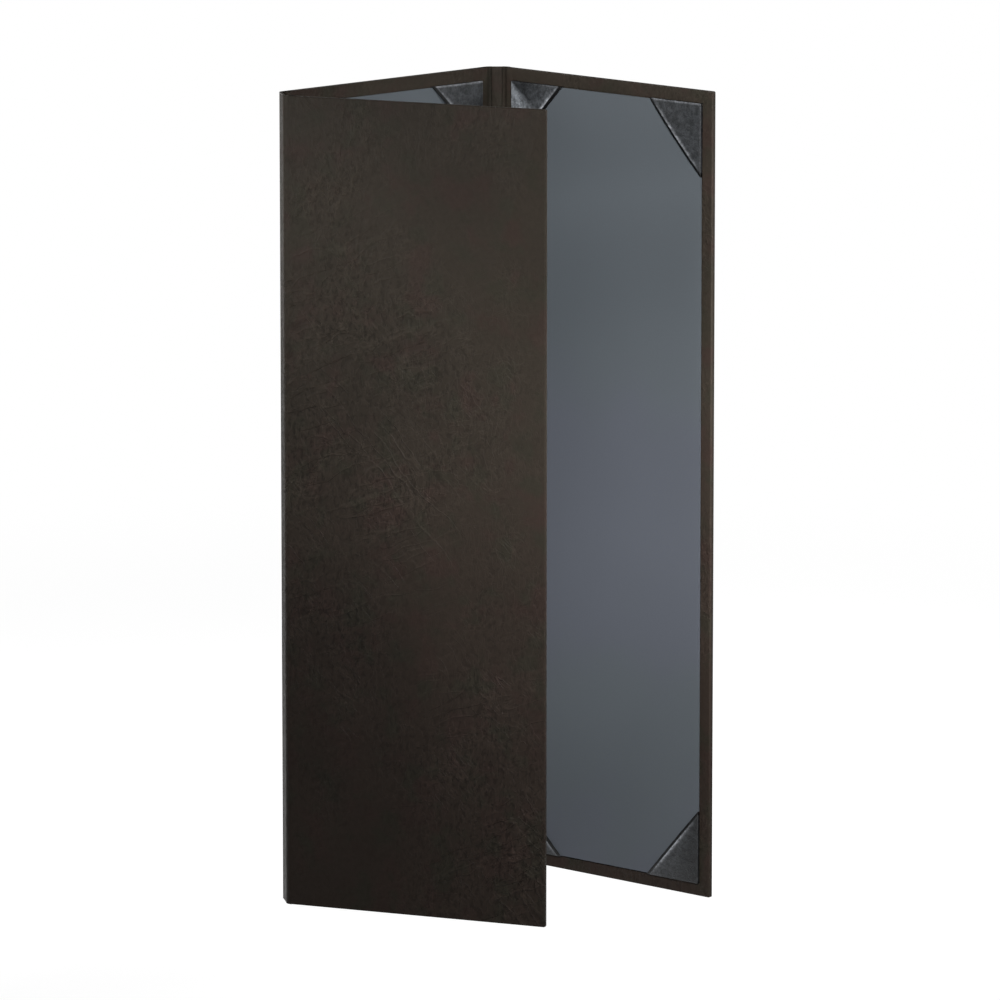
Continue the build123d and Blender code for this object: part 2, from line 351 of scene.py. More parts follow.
class Finish:
    """One procedural material."""

    def __init__(self, name, **constants):
        self.material = bpy.data.materials.new(name)
        self.material.use_nodes = True
        self.tree = self.material.node_tree
        self.shader = self.tree.nodes["Principled BSDF"]
        for key, value in constants.items():
            self.shader.inputs[key.replace("_", " ")].default_value = value

    def node(self, kind, settings, sockets, output=0):
        """Add a node: its settings first, then the values or links of its sockets."""
        made = self.tree.nodes.new("ShaderNode" + kind)
        for key, value in settings.items():
            setattr(made, key, value)
        for key, value in sockets.items():
            if isinstance(value, Value):
                self.tree.links.new(value.socket, made.inputs[key])
            else:
                made.inputs[key].default_value = value
        return Value(self, made.outputs[output])

    def place(self, foot=(0, 0, 0), turn=0.0):
        """A piece's coordinates in its own flat frame."""
        own = self.node("TexCoord", {}, {}, "Object")
        return self.node("Mapping", {"vector_type": "TEXTURE"},
                         {"Vector": own, "Location": foot, "Rotation": (0, 0, turn)})

    def drawn_out(self, vector, angle, stretch):
        """Coordinates turned within the face and then drawn out along their upright."""
        turned = self.node("Mapping", {"vector_type": "POINT"},
                           {"Vector": vector, "Rotation": (0, angle, 0)})
        return self.node("VectorMath", {"operation": "MULTIPLY"}, {0: turned, 1: (1, 1, 1 / stretch)})

    def attribute(self, word):
        """A value stored on the mesh."""
        return self.node("Attribute", {"attribute_name": word}, {}, "Fac")

    def lines(self, vector, scale, width, detail=2.0):
        """One along the lines where soft noise crosses its middle, zero away from them."""
        away = self.node("Math", {"operation": "ABSOLUTE"}, {0: self.clouds(vector, scale, detail) - 0.5})
        return self.ramp(away, 0.0, width, 1.0, 0.0)

    def spot(self, vector, centre, radius):
        """One at a point, falling to zero at a radius from it."""
        away = self.node("VectorMath", {"operation": "DISTANCE"}, {0: vector, 1: centre}, "Value")
        return self.ramp(away, 0.2 * radius, radius, 1.0, 0.0)

    def clouds(self, vector, scale, detail=2.0, roughness=0.5):
        """Soft noise around one half."""
        return self.node("TexNoise", {}, {"Vector": vector, "Scale": scale, "Detail": detail,
                                          "Roughness": roughness})

    def ramp(self, value, low, high, out_low, out_high):
        """Smooth step of a value from one range to another."""
        return self.node("MapRange", {"interpolation_type": "SMOOTHSTEP"},
                         {"Value": value, "From Min": low, "From Max": high,
                          "To Min": out_low, "To Max": out_high})

    def bent(self, vector, scale, amount):
        """Coordinates pushed about by noise, so that lines wander."""
        push = self.node("TexNoise", {}, {"Vector": vector, "Scale": scale, "Detail": 2.0}, "Color")
        centred = self.node("VectorMath", {"operation": "SUBTRACT"}, {0: push, 1: (0.5, 0.5, 0.5)})
        small = self.node("VectorMath", {"operation": "SCALE"}, {0: centred, "Scale": amount})
        return self.node("VectorMath", {"operation": "ADD"}, {0: vector, 1: small})

    def blend(self, factor, first, second):
        """Mix of two colours."""
        return self.node("Mix", {"data_type": "RGBA", "blend_type": "MIX"},
                         {0: factor, 6: first, 7: second}, 2)

    def tinted(self, colour, amount):
        """A colour times a varying brightness."""
        return self.node("VectorMath", {"operation": "SCALE"}, {0: colour, "Scale": amount})

    def bump(self, height, distance, strength=1.0):
        """Feed the shader's normal with a height in its own units times a distance in metres."""
        normal = self.node("Bump", {}, {"Height": height, "Distance": distance, "Strength": strength})
        self.feed("Normal", normal)

    def feed(self, socket, value):
        """Link a value to the shader."""
        self.tree.links.new(value.socket, self.shader.inputs[socket])


def rgba(colour):
    """A colour with full alpha."""
    return (*colour, 1.0)


def leather_finish(name, foot, turn, colours):
    """Dark leatherette: hair-like raised wrinkles, long slanting creases and mottled brown colour, with
    painted light and shade in broad areas, on its ridges and pits and on its inside faces.
    """
    finish = Finish(name, Specular_IOR_Level=0.08)
    flat = finish.place(foot, turn)
    wander = finish.bent(flat, 90.0, 0.004)
    upright = finish.lines(finish.drawn_out(wander, UPRIGHT_LEAN, WRINKLE_STRETCH), UPRIGHT_SCALE, 0.06)
    leaning = finish.lines(finish.drawn_out(wander, RISING_LEAN, WRINKLE_STRETCH), RISING_SCALE, 0.06)
    falling = finish.lines(finish.drawn_out(wander, FALLING_LEAN, FALLING_STRETCH), FALLING_SCALE, 0.055)
    lean_here = finish.ramp(finish.clouds(flat, 55.0), 0.42, 0.58, 0.0, 1.0)
    fall_here = finish.ramp(finish.clouds(flat, 43.0), 0.46, 0.6, 0.0, 1.0)
    pits = finish.ramp(finish.clouds(finish.drawn_out(wander, 0.0, 1.6), PIT_SCALE, 2.0),
                       0.36, 0.5, 1.0, 0.0)
    grain = finish.clouds(flat, TOOTH_SCALE, 2.0)
    squat = finish.node("VectorMath", {"operation": "MULTIPLY"}, {0: flat, 1: (1, 1, SQUAT)})
    creased = sum(finish.spot(squat, (across * WING_W, SKIN_FACE, SQUAT * up * PANEL_H),
                              reach * WING_W) * amount
                  for across, up, reach, amount in CREASED_SPOTS)
    rising = finish.lines(finish.drawn_out(wander, RISING_LEAN, CREASE_STRETCH),
                          LONG_RISING_SCALE, 0.03, 1.0)
    sinking = finish.lines(finish.drawn_out(wander, FALLING_LEAN, CREASE_STRETCH),
                           LONG_FALLING_SCALE, 0.022, 1.0)
    creases = (rising * finish.ramp(finish.clouds(flat, 24.0), 0.44, 0.56, 0.0, 1.0)
               + sinking * finish.ramp(finish.clouds(flat, 21.0), 0.5, 0.6, 0.0, 1.0)) * (creased + 0.12)
    worked = finish.ramp(finish.clouds(flat, 17.0), 0.42, 0.62, 0.1, 0.7) + creased * 0.7
    wrinkles = (upright + leaning * lean_here + falling * fall_here) * worked
    finish.bump(wrinkles * 0.6 + creases * 1.2 - pits * worked * 0.5 + grain * 0.1, LEATHER_RELIEF, 0.9)

    height = finish.node("SeparateXYZ", {}, {0: flat}, 2)
    red = (finish.ramp(finish.clouds(flat, 52.0, 3.0), 0.5, 0.66, 0.0, 0.8)
           + finish.ramp(height, 0.2 * PANEL_H, 0.75 * PANEL_H, 0.55, 0.0))
    olive = finish.ramp(finish.clouds(flat, 70.0, 3.0), 0.5, 0.66, 0.0, 0.8)
    brown = finish.blend(red, rgba(colours.leather), rgba(colours.leather_red))
    mottled = finish.blend(olive, brown, rgba(colours.leather_olive))
    # Broad random tone, and the listed spots lighter and darker, in part as painted light and shade.
    broad = finish.ramp(finish.clouds(flat, 11.0, 3.0), 0.3, 0.7, 0.9, 1.1)
    for across, up, amount in LEATHER_TONES:
        centre = (across * WING_W, SKIN_FACE, up * PANEL_H)
        broad = broad + finish.spot(flat, centre, TONE_REACH * WING_W) * amount
    depth = finish.node("SeparateXYZ", {}, {0: flat}, 1)
    # Inside faces painted lighter as painted light, less so towards the bottom as painted shade.
    inner_painted_light = finish.ramp(height, 0.12 * PANEL_H, 0.4 * PANEL_H, INNER_PAINTED_LIGHT_LOW, INNER_PAINTED_LIGHT)
    inner = 1.0 + finish.ramp(depth, 0.8 * HEM_FACE, 0.0, 1.0, 0.0) * (inner_painted_light - 1.0)
    speckled = finish.ramp(finish.clouds(flat, 420.0, 3.0, 0.65), 0.3, 0.7, 0.95, 1.05)
    # Raised wrinkles and creases are painted lighter as painted highlight, and the pits darker as painted
    # shade.
    relief_painted_light = 0.98 + wrinkles * 0.2 + creases * 0.25 - pits * worked * 0.24
    finish.feed("Base Color", finish.tinted(mottled, broad * inner * speckled * relief_painted_light))
    finish.feed("Roughness", finish.clouds(flat, 90.0, 3.0) * 0.14 + pits * 0.08 + 0.42)
    return finish.material


def liner_finish(name, foot, turn, colours):
    """Smooth card with a fine tooth; its colour turns a little greener in its upper part and in a low
    band, as painted light.
    """
    finish = Finish(name, Specular_IOR_Level=0.15)
    flat = finish.place(foot, turn)
    height = finish.node("SeparateXYZ", {}, {0: flat}, 2)
    clouding = finish.clouds(flat, 22.0, 3.0) - 0.5
    # Greener upper part and low band of the card, painted light.
    high = finish.ramp(height + clouding * 0.1, 0.52 * PANEL_H, 0.7 * PANEL_H, 0.0, 1.0)
    from_low = finish.node("Math", {"operation": "ABSOLUTE"},
                           {0: height + clouding * 0.1 - 0.18 * PANEL_H})
    low = finish.ramp(from_low, 0.04 * PANEL_H, 0.18 * PANEL_H, 1.0, 0.0)
    mixed = finish.blend(high + low, rgba(colours.liner), rgba(colours.liner_painted_tint))
    tooth = finish.clouds(flat, TOOTH_SCALE, 2.0)
    broad = finish.ramp(finish.clouds(flat, 8.0), 0.3, 0.7, 0.96, 1.04)
    finish.feed("Base Color", finish.tinted(mixed, broad * (0.95 + tooth * 0.1)))
    finish.feed("Roughness", 0.5 + clouding * 0.1)
    finish.bump(tooth, CARD_RELIEF, 0.5)
    return finish.material


def pocket_finish(name, foot, turn, colours):
    """Black leatherette with a blotchy grain, puckers beside the slant and lighter folds, scuffed and with
    a painted highlight, and painted light and shade, stored on the mesh, on its facets and as a dark band
    under the slant.
    """
    finish = Finish(name, Specular_IOR_Level=0.4)
    flat = finish.place(foot, turn)
    wear = finish.attribute("wear")
    along_slant = finish.node("CombineXYZ", {}, {
        0: finish.attribute("along") * 26.0,
        1: finish.attribute("reach") * 3.0,
        2: finish.attribute("seed")})
    puckers = finish.clouds(along_slant, 1.0) * finish.ramp(finish.attribute("reach"), 0.55, 1.0, 0.0, 1.0)
    grain = finish.lines(finish.bent(flat, 500.0, 0.0012), 620.0, 0.09)
    dents = finish.clouds(flat, 330.0, 3.0)
    finish.bump(dents * 0.7 - grain * 0.3 + puckers * 0.8, LEATHER_RELIEF, 0.9)
    blotches = finish.ramp(finish.clouds(flat, 420.0, 4.0, 0.7), 0.35, 0.65, 0.6, 1.4)
    # Folds lighter where scuffed and as painted highlight.
    base = finish.blend(wear, rgba(colours.pocket), rgba(colours.pocket_rubbed_and_highlight))
    # The stored shading paints light and shade on the facets and a dark band under the slant.
    shade = blotches * finish.attribute("tone") * (1.0 - grain * 0.3)
    finish.feed("Base Color", finish.tinted(base, shade))
    finish.feed("Roughness", 0.4 + dents * 0.2)
    return finish.material


def board_finish(name, colours):
    """Raw greyboard with pulp flecks."""
    finish = Finish(name, Specular_IOR_Level=0.2)
    flat = finish.place()
    pulp = finish.clouds(flat, 700.0, 4.0)
    flecks = finish.ramp(finish.clouds(flat, 1500.0, 1.0), 0.66, 0.72, 0.0, 1.0)
    speckled = finish.blend(flecks, rgba(colours.board), FLECK_COLOUR)
    finish.feed("Base Color", finish.tinted(speckled, pulp * 0.3 + 0.85))
    finish.feed("Roughness", 0.85 + pulp * 0.1)
    finish.bump(pulp, PULP_RELIEF, 0.6)
    return finish.material


FINISHES = {}
FINISH_MAKERS = {"leather": leather_finish, "liner": liner_finish, "pocket": pocket_finish}


def finish_for(kind, part, foot, turn):
    """The finish of one kind on a part that stands at a foot point, made once."""
    key = f"{part}_{kind}"
    if key not in FINISHES:
        FINISHES[key] = FINISH_MAKERS[kind](key, foot, turn, bpy.context.scene.menu_cover_colours)
    return FINISHES[key]


# Panels and their flat frames

class Panel:
    """A panel's flat frame, its extent in x and how it stands."""

    def __init__(self, name, foot, turn, left, right, left_free, right_free, card_left):
        self.name = name
        self.body = f"{name}_panel"
        self.foot = foot
        self.turn = turn
        self.place = standing(foot, turn)
        self.left = left
        self.right = right
        self.left_free = left_free
        self.right_free = right_free
        self.card_left = card_left
        self.card_right = card_left + CARD_W

    def finish(self, kind):
        """The panel's finish of one kind."""
        return finish_for(kind, self.name, self.foot, self.turn)

    def free_sides(self):
        """Turned edges, by their place in x."""
        return [x for x, free in ((self.left, self.left_free), (self.right, self.right_free)) if free]

    def hinge_sides(self):
        """Ends at a groove, by their place in x and the way in from there."""
        sides = ((self.left, self.left_free, 1), (self.right, self.right_free, -1))
        return [(x, inward) for x, free, inward in sides if not free]

    def lining_edge(self, inward):
        """Where the lining beside a groove ends, next to the liner card."""
        return (self.card_left if inward > 0 else self.card_right) - inward * WINDOW_GAP


def panels():
    """The three panels."""
    half = COVER_HIGH.x
    return [
        Panel("centre", Vector((0, 0, 0)), 0.0, -half, half, False, False, CARD_LOW.x),
        Panel("right", RIGHT_FAR, 2 * RIGHT_TURN, PANEL_SETBACK, WING_W, False, True, HINGE_MARGIN),
        Panel("front", FRONT_FAR, 2 * FRONT_TURN, -WING_W, -PANEL_SETBACK, True, False,
              -HINGE_MARGIN - CARD_W),
    ]


# Mesh helpers

def near(value, target, slack=SAME_LENGTH):
    """Whether two lengths are the same to within a slack."""
    return abs(value - target) < slack


def new_slab(x0, x1, y0, y1, z0, z1):
    """A bmesh box between two corners."""
    bm = bmesh.new()
    bmesh.ops.create_cube(bm, size=1.0)
    bmesh.ops.scale(bm, vec=(x1 - x0, y1 - y0, z1 - z0), verts=bm.verts)
    bmesh.ops.translate(bm, vec=((x0 + x1) / 2, (y0 + y1) / 2, (z0 + z1) / 2), verts=bm.verts)
    return bm


def soften(bm, edges, radius, segments=EDGE_STEPS):
    """Round some edges."""
    bmesh.ops.bevel(bm, geom=edges, offset=radius, offset_type="OFFSET", segments=segments, profile=0.5,
                    affect="EDGES", material=-1, clamp_overlap=True)


def edges_where(bm, test):
    """Edges whose two ends both pass a test."""
    return [edge for edge in bm.edges if all(test(vert.co) for vert in edge.verts)]


def finished(bm, name, place, finish, body, replaced, smooth=SMOOTH_ANGLE):
    """Turn a bmesh into a piece in its place, that rides on a body and stands for CAD nodes."""
    bmesh.ops.remove_doubles(bm, verts=bm.verts, dist=MERGE_DISTANCE)
    bmesh.ops.recalc_face_normals(bm, faces=bm.faces)
    bmesh.ops.transform(bm, matrix=place, verts=bm.verts)
    mesh = bpy.data.meshes.new(name)
    bm.to_mesh(mesh)
    bm.free()
    if place.determinant() < 0:
        mesh.flip_normals()
    mesh.shade_smooth()
    mesh.set_sharp_from_angle(angle=smooth)
    piece = bpy.data.objects.new(name, mesh)
    bpy.context.scene.collection.objects.link(piece)
    mesh.materials.append(finish)
    if body:
        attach(piece, body)
    if replaced:
        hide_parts(*replaced)
    return piece


# Skins of the panels

def skin_mesh(panel, shape):
    """Leatherette wrapped over a board, with the recess of the liner card and mitred hem corners."""
    bm = new_slab(panel.left, panel.right, HEM_FACE, SKIN_FACE, 0.0, PANEL_H)
    free = panel.free_sides()
    corners = edges_where(bm, lambda co: any(near(co.x, x) for x in free))
    corners = [edge for edge in corners if near(edge.verts[0].co.z, edge.verts[1].co.z)]
    if corners:
        soften(bm, corners, shape.corner_radius, CORNER_STEPS)
    hinge = [x for x, _ in panel.hinge_sides()]
    rims = [edge for edge in bm.edges
            if near(edge.verts[0].co.y, edge.verts[1].co.y)
            and not all(any(near(vert.co.x, x) for x in hinge) for vert in edge.verts)]
    soften(bm, rims, shape.turned_edge)
    low = panel.card_left - WINDOW_GAP
    high = panel.card_right + WINDOW_GAP
    bottom = HEM_MARGIN - WINDOW_GAP
    top = PANEL_H - HEM_MARGIN + WINDOW_GAP
    for point, normal in (((low, 0, 0), (1, 0, 0)), ((high, 0, 0), (1, 0, 0)),
                          ((0, 0, bottom), (0, 0, 1)), ((0, 0, top), (0, 0, 1))):
        inner = inside_faces(bm)
        bmesh.ops.bisect_plane(bm, geom=with_edges(inner), plane_co=point, plane_no=normal)
    for x, inward in panel.hinge_sides():
        edge = panel.lining_edge(inward) + inward * CUT_SLIVER
        bmesh.ops.bisect_plane(bm, geom=with_edges(inside_faces(bm)), plane_co=(edge, 0, 0),
                               plane_no=(1, 0, 0))
    inner_low = low + CUT_SLIVER if not panel.left_free else low
    inner_high = high - CUT_SLIVER if not panel.right_free else high
    window = [face for face in inside_faces(bm)
              if inner_low < face.calc_center_median().x < inner_high
              and bottom < face.calc_center_median().z < top]
    made = bmesh.ops.extrude_face_region(bm, geom=window)
    floor = [item for item in made["geom"] if isinstance(item, bmesh.types.BMVert)]
    bmesh.ops.delete(bm, geom=window, context="FACES_ONLY")
    bmesh.ops.translate(bm, vec=(0, BOARD_FACE - FLOOR_LIFT - HEM_FACE, 0), verts=floor)
    mitre_corners(bm, panel, low, high, bottom, top, shape.mitre_depth)
    return bm


def inside_faces(bm):
    """Faces that lie flat on the panel's inside face."""
    return [face for face in bm.faces if near(face.calc_center_median().y, HEM_FACE)
            and abs(face.normal.y) > 0.9]


def with_edges(faces):
    """Faces with their edges and corners, as one list of geometry."""
    edges = {edge for face in faces for edge in face.edges}
    verts = {vert for face in faces for vert in face.verts}
    return list(verts) + list(edges) + list(faces)


def mitre_corners(bm, panel, low, high, bottom, top, depth):
    """Cut the slanting seam where the hem turns a free corner, and press it in a little."""
    for side in panel.free_sides():
        x = low if side == panel.left else high
        out = -1 if side == panel.left else 1
        for z, up in ((bottom, -1), (top, 1)):
            corner = [face for face in inside_faces(bm)
                      if (face.calc_center_median().x - x) * out > 0
                      and (face.calc_center_median().z - z) * up > 0]
            cut = bmesh.ops.bisect_plane(bm, geom=with_edges(corner), plane_co=(x, 0, z),
                                         plane_no=(up, 0, -out))
            seam = [item for item in cut["geom_cut"] if isinstance(item, bmesh.types.BMEdge)]
            along = [edge for edge in seam if edge.calc_length() > SHORTEST_SEAM]
            made = bmesh.ops.bevel(bm, geom=along, offset=MITRE_WIDTH, offset_type="OFFSET", segments=2,
                                   profile=0.5, affect="EDGES", material=-1)
            middle = [vert for vert in made["verts"]
                      if abs((vert.co.x - x) * up - (vert.co.z - z) * out) < MITRE_SLACK]
            bmesh.ops.translate(bm, vec=(0, depth, 0), verts=middle)


def hinge_strip_mesh(side, inward, edge, shape):
    """Lining beside a groove, rounded where it dips into the groove and at its ends."""
    bm = new_slab(min(side, edge), max(side, edge), HEM_FACE - STRIP_LIFT, 0.0, 0.0, PANEL_H)
    long_edge = edges_where(bm, lambda co: near(co.y, HEM_FACE, STRIP_SLACK) and near(co.x, side))
    soften(bm, long_edge, shape.lining_edge, LINING_STEPS)
    ends = edges_where(bm, lambda co: co.y < -BOARD_HIGH.y - STRIP_DEPTH and
                       (near(co.z, 0) or near(co.z, PANEL_H)))
    soften(bm, ends, shape.lining_edge * 0.6, 3)
    return bm


# Spines

def spine_meshes(width, shape):
    """Outer skin and inside strip of a spine in its flat frame."""
    x0 = SPINE_SETBACK
    x1 = width - SPINE_SETBACK
    skin = new_slab(x0, x1, 0.0, SKIN_FACE, 0.0, PANEL_H)
    ends = edges_where(skin, lambda co: near(co.y, SKIN_FACE) and (near(co.z, 0) or near(co.z, PANEL_H)))
    ends = [edge for edge in ends if near(edge.verts[0].co.z, edge.verts[1].co.z)]
    soften(skin, ends, SPINE_END_ROUND)
    strip = new_slab(x0, x1, STRIP_FACE, 0.0, 0.0, PANEL_H)
    top_face = edges_where(strip, lambda co: near(co.y, STRIP_FACE))
    soften(strip, top_face, shape.lining_edge * 0.8)
    return skin, strip


def groove_mesh(fold, shape, flip):
    """Skin and lining pressed together in a groove: a straight end, then an arc."""
    start = PANEL_SETBACK
    tangent = SPINE_SETBACK
    bend = tangent / math.tan(fold / 2)
    bm = bmesh.new()
    corners = [(start, -shape.skin_thickness), (start, SKIN_FACE)]
    rows = []
    for z in (0.0, PANEL_H):
        rows.append([bm.verts.new((x, y, z)) for x, y in corners])
    ring = [rows[0][0], rows[0][1], rows[1][1], rows[1][0]]
    loop = [bm.edges.new((ring[i], ring[(i + 1) % 4])) for i in range(4)]
    bmesh.ops.subdivide_edges(bm, edges=[loop[1], loop[3]], cuts=GROOVE_CUTS)
    loop = list(bm.edges)
    made = bmesh.ops.extrude_edge_only(bm, edges=loop)
    verts = [item for item in made["geom"] if isinstance(item, bmesh.types.BMVert)]
    moved = [item for item in made["geom"] if isinstance(item, bmesh.types.BMEdge)]
    bmesh.ops.translate(bm, vec=(tangent - start, 0, 0), verts=verts)
    bmesh.ops.spin(bm, geom=verts + moved, cent=(tangent, -bend, 0), axis=(0, 0, 1), angle=fold,
                   steps=GROOVE_STEPS)
    bmesh.ops.holes_fill(bm, edges=[edge for edge in bm.edges if edge.is_boundary])
    if flip:
        bmesh.ops.scale(bm, vec=(-1, 1, 1), verts=bm.verts)
    return bm


# Corner pockets

class PocketWearAndLight:
    """How scuffed a pocket's level rim, upright rim and slanting fold are and how strong their painted
    highlight is, how deep a crease divides its face and paints its facets lit and shaded, and how far
    painted shade darkens the pocket towards its upright edge.
    """

    def __init__(self, level, upright, slant, crease, fade):
        self.level = level
        self.upright = upright
        self.slant = slant
        self.crease = crease
        self.fade = fade


POCKET_LAYERS = ("wear", "tone", "along", "reach", "span", "seed")


def pocket_mesh(shape, worn_and_lit, seed):
    """One corner pocket: card corner at the origin, +x and +z along the card, +y out of its face."""
    rim = shape.pocket_rim
    low = rim - POCKET_OUT
    full_x = POCKET_ACROSS + POCKET_OUT
    full_z = POCKET_UP + POCKET_OUT
    kept = 1.0 - (shape.pocket_lip + shape.pocket_roll) * math.hypot(1 / full_x, 1 / full_z)
    span_x = full_x * (kept - rim / full_z) - rim
    span_z = full_z * (kept - rim / full_x) - rim
    bm = bmesh.new()
    corners = ((0, 0), (span_x, 0), (0, span_z))
    bm.faces.new([bm.verts.new((low + x, POCKET_RISE, low + z)) for x, z in corners])
    bmesh.ops.subdivide_edges(bm, edges=bm.edges, cuts=POCKET_CUTS, use_grid_fill=True)
    layers = {word: bm.verts.layers.float.new(word) for word in POCKET_LAYERS}
    for vert in bm.verts:
        across = max((vert.co.x - low) / span_x, 0.0)
        up = max((vert.co.z - low) / span_z, 0.0)
        reach = across + up
        along = up / reach if reach > 0 else 0.5
        arch = 4 * along * (1 - along)
        fold = 1 - abs(2 * along - 1)
        stand = (1 - worn_and_lit.crease) * arch * reach ** 1.6 - worn_and_lit.crease * 0.5 * fold * reach ** 0.8
        ripple = noise.noise(Vector((along * 9 + seed, reach * 5, seed * 1.7)))
        sag = shape.pocket_sag * arch * reach ** 3
        vert.co.x -= sag * span_z / math.hypot(span_x, span_z)
        vert.co.z -= sag * span_x / math.hypot(span_x, span_z)
        vert.co.y += shape.pocket_bulge * stand + shape.pocket_ripple * ripple * min(6 * fold * reach, 1.0)
        lit = min(max((along - 0.5) * 5 + 0.5, 0.0), 1.0)
        # Crest of the slanting edge: painted highlight, partly scuffing.
        vert[layers["wear"]] = worn_and_lit.slant * arch * max(0.0, reach * 16 - 15)
        # Creased pocket: one facet painted lit and the other shaded; bottom pockets painted darker towards
        # their upright edge: painted light and shade.
        vert[layers["tone"]] = (1.0 + worn_and_lit.crease * (5.6 * lit + 1.6 * reach ** 2 - 0.4)
                                + worn_and_lit.fade * (1.1 * min(across * 2, 1.0) * reach ** 2 - 0.6))
        vert[layers["along"]] = along
        vert[layers["reach"]] = reach
        vert[layers["seed"]] = seed
        vert[layers["span"]] = max(across, up)
    slant = [edge for edge in bm.edges if edge.is_boundary
             and all(vert[layers["reach"]] > 0.999 for vert in edge.verts)]
    roll_over(bm, slant, shape, low, layers, worn_and_lit)
    turn_down(bm, shape, low, layers, worn_and_lit)
    return bm


def roll_over(bm, edges, shape, low, layers, worn_and_lit):
    """Bend the slanting edge down, roll it under and take it back below the front layer."""
    lip = shape.pocket_lip
    drop = shape.pocket_drop
    roll = shape.pocket_roll
    size = math.hypot(POCKET_ACROSS + POCKET_OUT, POCKET_UP + POCKET_OUT)
    height = (POCKET_ACROSS + POCKET_OUT) * (POCKET_UP + POCKET_OUT) / size
    places = [(lip * k / POCKET_LIP_STEPS, -drop * (k / POCKET_LIP_STEPS) ** 2)
              for k in range(1, POCKET_LIP_STEPS + 1)]
    for k in range(1, POCKET_ROLL_STEPS + 1):
        turned = math.pi * k / POCKET_ROLL_STEPS
        places.append((lip + roll * math.sin(turned), -drop - roll + roll * math.cos(turned)))
    places.append((lip - shape.pocket_turn, -drop - 2 * roll))
    out = down = 0.0
    for step, (next_out, next_down) in enumerate(places):
        made = bmesh.ops.extrude_edge_only(bm, edges=edges)
        edges = [item for item in made["geom"] if isinstance(item, bmesh.types.BMEdge)]
        factor = (height + next_out) / (height + out)
        for vert in [item for item in made["geom"] if isinstance(item, bmesh.types.BMVert)]:
            vert.co.x = low + (vert.co.x - low) * factor
            vert.co.z = low + (vert.co.z - low) * factor
            vert.co.y += next_down - down
            along = vert[layers["along"]]
            arch = 4 * along * (1 - along)
            # Top of the lip: painted highlight, partly scuffing.
            vert[layers["wear"]] = worn_and_lit.slant * arch * (0.5, 0.0)[min(step, 1)]
            # The band down to the fold, the fold and the leather under it are painted dark as painted
            # shade, darkest in the middle.
            vert[layers["tone"]] = (0.6, 0.4 - 0.38 * arch, 0.02)[min(step, 2)]
            vert[layers["reach"]] = LIP_REACH + REACH_STEP * step
        out = next_out
        down = next_down


def turn_down(bm, shape, low, layers, worn_and_lit):
    """Round the pocket over the card's two edges and take its walls down beside the card."""
    rim = shape.pocket_rim
    outermost = LIP_REACH + REACH_STEP * (POCKET_LIP_STEPS + 2) + 0.01
    edges = [edge for edge in bm.edges if edge.is_boundary
             and all(vert[layers["reach"]] < outermost for vert in edge.verts)
             and any(all(near(vert.co[axis], low) for vert in edge.verts) for axis in (0, 2))]
    for vert in {vert for edge in edges for vert in edge.verts}:
        if vert[layers["reach"]] <= 1:
            # Rims over the card's edges: lighter where scuffed and as painted highlight, most on the top
            # pockets' upper rims.
            vert[layers["wear"]] = 0.6 * (worn_and_lit.level if near(vert.co.z, low) else worn_and_lit.upright)
    before = 0.0
    for turned in RIM_TURNS:
        reached = rim * math.sin(math.radians(min(turned, 90)))
        made = bmesh.ops.extrude_edge_only(bm, edges=edges)
        edges = [item for item in made["geom"] if isinstance(item, bmesh.types.BMEdge)]
        for vert in [item for item in made["geom"] if isinstance(item, bmesh.types.BMVert)]:
            on_level = near(vert.co.z, low - before)
            if near(vert.co.x, low - before):
                vert.co.x -= reached - before
            if on_level:
                vert.co.z -= reached - before
            if turned > 90:
                vert.co.y = BOARD_FACE_BELOW
            else:
                vert.co.y += rim * (math.cos(math.radians(turned)) - math.cos(math.radians(turned - 30)))
            # Upper rims lighter towards their ends as painted highlight.
            end = abs(2 * vert[layers["span"]] - 1) ** 2
            rubbed_and_lit = worn_and_lit.level * (0.55 + 0.45 * end) if on_level else worn_and_lit.upright
            vert[layers["wear"]] = rubbed_and_lit if turned < 90 else 0.0
        before = reached


# Operators

class MENUCOVER_OT_skins(bpy.types.Operator):
    """Model the leatherette skins of the three panels, with hems and hinge linings"""
    bl_idname = "menu_cover.skins"
    bl_label = "Panel skins"

    def execute(self, context):
        shape = context.scene.menu_cover_shape
        for panel in panels():
            leather = panel.finish("leather")
            finished(skin_mesh(panel, shape), f"{panel.name}_skin", panel.place, leather, panel.body,
                     [f"{panel.name}_cover"])
            sides = panel.hinge_sides()
            words = ["left_hinge", "right_hinge"] if len(sides) > 1 else ["hinge"]
            for (side, inward), word in zip(sides, words):
                strip = hinge_strip_mesh(side, inward, panel.lining_edge(inward), shape)
                finished(strip, f"{panel.name}_{word}_strip", panel.place, leather, panel.body,
                         [f"{panel.name}_{word}_lining"])
        return {"FINISHED"}


class MENUCOVER_OT_spines(bpy.types.Operator):
    """Model the two spines between the grooves"""
    bl_idname = "menu_cover.spines"
    bl_label = "Spines"

    def execute(self, context):
        shape = context.scene.menu_cover_shape
        spines = (("right", RIGHT_NEAR, RIGHT_TURN, RIGHT_SPINE_W, 1),
                  ("front", FRONT_NEAR, FRONT_TURN, FRONT_SPINE_W, -1))
        for name, foot, turn, width, way in spines:
            place = standing(foot, turn)
            leather = finish_for("leather", f"{name}_spine", foot, turn)
            for bm, word, slot in zip(spine_meshes(width, shape), ("skin", "strip"),
                                      ("cover_leatherette", "inner_leatherette")):
                bmesh.ops.scale(bm, vec=(way, 1, 1), verts=bm.verts)
                node = f"{name}_spine_cover" if word == "skin" else f"{name}_spine_lining"
                finished(bm, f"{name}_spine_{word}", place, leather, f"{name}_spine", [node])
        return {"FINISHED"}


